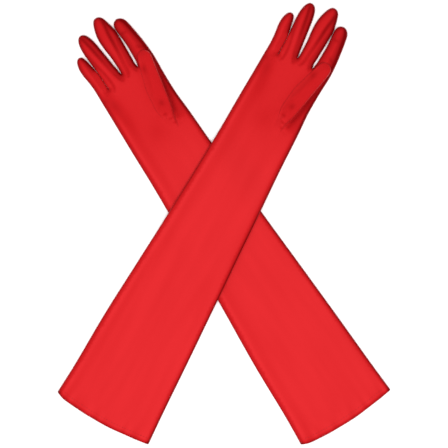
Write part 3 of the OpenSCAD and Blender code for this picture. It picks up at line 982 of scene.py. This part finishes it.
def satin(name):
    """Stretch satin: fine slanting floats, a soft sheen, a colour that varies a little over the cloth, and
    painted shade and painted highlights read from an attribute of the cloth.
    """
    m = Nodes(name)
    cut = m.add("ShaderNodeUVMap", uv_map="Cut").outputs["UV"]
    place = m.add("ShaderNodeTexCoord").outputs["Object"]
    tone = m.add("ShaderNodeAttribute", attribute_name="PaintedShadeAndTone").outputs["Fac"]
    floats = m.noise(m.stretched(cut, (1.0, 0.16, 1.0)), 2600.0, 2.0)
    twill = m.slanting(cut, 640.0, 1.2)
    drift = m.noise(place, 9.0, 2.0)
    streak = m.noise(m.stretched(cut, (9.0, 1.0, 1.0)), 22.0, 3.0)
    shade = m.math("ADD", m.math("MULTIPLY", drift, 0.55), m.math("MULTIPLY", streak, 0.25))
    base = m.mix(shade, SATIN_RED, SATIN_DEEP)
    yarn = m.math("MULTIPLY", m.math("SUBTRACT", floats, 0.5), 0.22)
    base = m.mix(m.math("ADD", yarn, 0.06, clamp=True), base, SATIN_DEEP)
    # painted shade from the attribute: the red grows purer, then darker; below zero it turns lighter as a
    # painted highlight
    base = m.mix(m.math("MULTIPLY", tone, 3.3, clamp=True), base, PAINTED_SHADE_HUE, "MULTIPLY")
    base = m.mix(m.math("MULTIPLY", tone, 0.85, clamp=True), base, SATIN_PAINTED_SHADE)
    painted_light = m.math("MULTIPLY", tone, -1.0, clamp=True)
    base = m.mix(painted_light, base, SATIN_PAINTED_LIGHT)
    m.surface(
        base,
        Roughness=m.math("ADD", m.math("MULTIPLY", floats, 0.10), 0.40),
        Specular_IOR_Level=0.12,
        Specular_Tint=(1.0, 0.10, 0.12, 1),
        Anisotropic=0.35,
        Sheen_Weight=0.25,
        Sheen_Roughness=0.35,
        Sheen_Tint=(1.0, 0.12, 0.13, 1),
    )
    m.bump(m.math("ADD", m.math("MULTIPLY", floats, 0.6), m.math("MULTIPLY", twill, 0.4)), 0.22, 0.00012)
    return m.material


def thread(name):
    """Spun sewing thread: a twisted strand with slight fuzz."""
    m = Nodes(name)
    place = m.add("ShaderNodeTexCoord").outputs["Object"]
    twist = m.slanting(place, 700.0, 0.6)
    rough = m.math("ADD", m.math("MULTIPLY", m.noise(place, 2400.0, 2.0), 0.15), 0.55)
    m.surface(m.mix(twist, THREAD_LIGHT, THREAD_DARK), Roughness=rough, Specular_IOR_Level=0.3)
    m.bump(twist, 0.5, 0.00008)
    return m.material


def paper(name):
    """The pale floor: a matte white with the faintest grain."""
    m = Nodes(name)
    place = m.add("ShaderNodeTexCoord").outputs["Object"]
    grain = m.noise(place, 60.0, 4.0)
    m.surface(m.mix(grain, PAPER_LIGHT, PAPER_DARK), Roughness=0.85, Specular_IOR_Level=0.1)
    return m.material


# ---------------------------------------------------------------- the pair

SATIN = satin("satin")
THREAD = thread("thread")
PLACES = {glove: glove_frame(glove) for glove in GLOVES}
SEEDS = {"lower": 3.7, "upper": 11.3}
BODY_OF = {"thumb_front": "thumb", "thumb_back": "thumb"}
for finger in FINGERS:
    BODY_OF[finger + "_front"] = BODY_OF[finger + "_back"] = finger + "_finger"
    for panel in SIDE_PANELS[finger]:
        BODY_OF[panel[0]] = finger + "_finger"


def build_glove(glove):
    """Makes every piece of one glove, hangs those outside the fingers and the thumb's sleeve on the glove's
    body, bakes the rest in place, and puts each in place of its plain solid.
    """
    points, tones, faces, labels = glove_cloth(SEEDS[glove])
    plan = points[:, :2]
    row = to_row(points, PLACES[glove], PLACES["lower"] if glove == "upper" else None)
    normals = vertex_normals(row, faces)
    for label in sorted(set(labels)):
        piece_faces = faces[labels == label]
        thick = (HEM_T if label == "cuff_hem" else CLOTH_T) * MM
        obj = shell(f"{glove}_{label}_cloth", row, normals, tones, plan, piece_faces, thick)
        obj.data.materials.append(SATIN)
        if label in BODY_OF:
            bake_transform(obj)
        else:
            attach(obj, f"{glove}_glove")
        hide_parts(f"{glove}_{label}")
    row_of_stitches = stitches(f"{glove}_hem_stitching_thread", PLACES[glove], SEEDS[glove])
    row_of_stitches.data.materials.append(THREAD)
    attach(row_of_stitches, f"{glove}_glove")
    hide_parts(f"{glove}_hem_stitching")
    declare_sheets(plan, faces, labels)


def declare_sheets(plan, faces, labels):
    """Gathers the faces and the flat spread of every layer of cloth, and does nothing more with them."""
    panels = [name for f in FINGERS for name, *_ in SIDE_PANELS[f]]
    on = {
        "palm": [f + "_front" for f in FINGERS] + panels + ["side_seam", "cuff_hem", "hem_stitching"],
        "back": [f + "_back" for f in FINGERS],
        "thumb_front": ["thumb_base"],
        "thumb_back": [],
    }
    for label, going in on.items():
        cut = faces[labels == label]
        spread = plan[np.unique(cut)]
        if label.startswith("thumb"):
            spread = (spread - THUMB_AT) @ np.column_stack([THUMB_X, THUMB_Y])


for glove in GLOVES:
    build_glove(glove)

# ---------------------------------------------------------------- floor and light

# Half the floor's width, and how far it lies below the gloves.
FLOOR, FLOOR_BELOW = 3.0, 0.0002
floor_mesh = bpy.data.meshes.new("floor")
floor_mesh.from_pydata(
    [(-FLOOR, -FLOOR, 0), (FLOOR, -FLOOR, 0), (FLOOR, FLOOR, 0), (-FLOOR, FLOOR, 0)], [], [(0, 1, 2, 3)]
)
floor = bpy.data.objects.new("floor", floor_mesh)
floor.location.z = -FLOOR_BELOW
floor_mesh.materials.append(paper("paper"))
bpy.context.scene.collection.objects.link(floor)


def area_light(name, at, target, size, watts):
    """A soft rectangular light that faces its target and isn't itself seen."""
    data = bpy.data.lights.new(name, "AREA")
    data.shape = "RECTANGLE"
    data.size, data.size_y = size
    data.energy = watts
    light = bpy.data.objects.new(name, data)
    light.location = at
    light.rotation_euler = (Vector(target) - Vector(at)).to_track_quat("-Z", "Y").to_euler()
    light.visible_camera = False
    bpy.context.scene.collection.objects.link(light)


area_light("key", (-0.12, -0.42, 1.6), (0, -0.05, 0), (1.5, 1.5), 26)
area_light("fill", (0.8, 0.3, 1.4), (0, 0, 0), (1.2, 1.2), 5)
area_light("rim", (-0.9, 0.5, 1.1), (0, 0.1, 0), (0.8, 0.8), 2)

world = bpy.data.worlds.new("studio")
world.use_nodes = True
world.node_tree.nodes["Background"].inputs["Color"].default_value = (1, 1, 1, 1)
world.node_tree.nodes["Background"].inputs["Strength"].default_value = 0.62
bpy.context.scene.world = world

bpy.context.scene.view_settings.view_transform = "Standard"
bpy.context.scene.view_settings.look = "None"
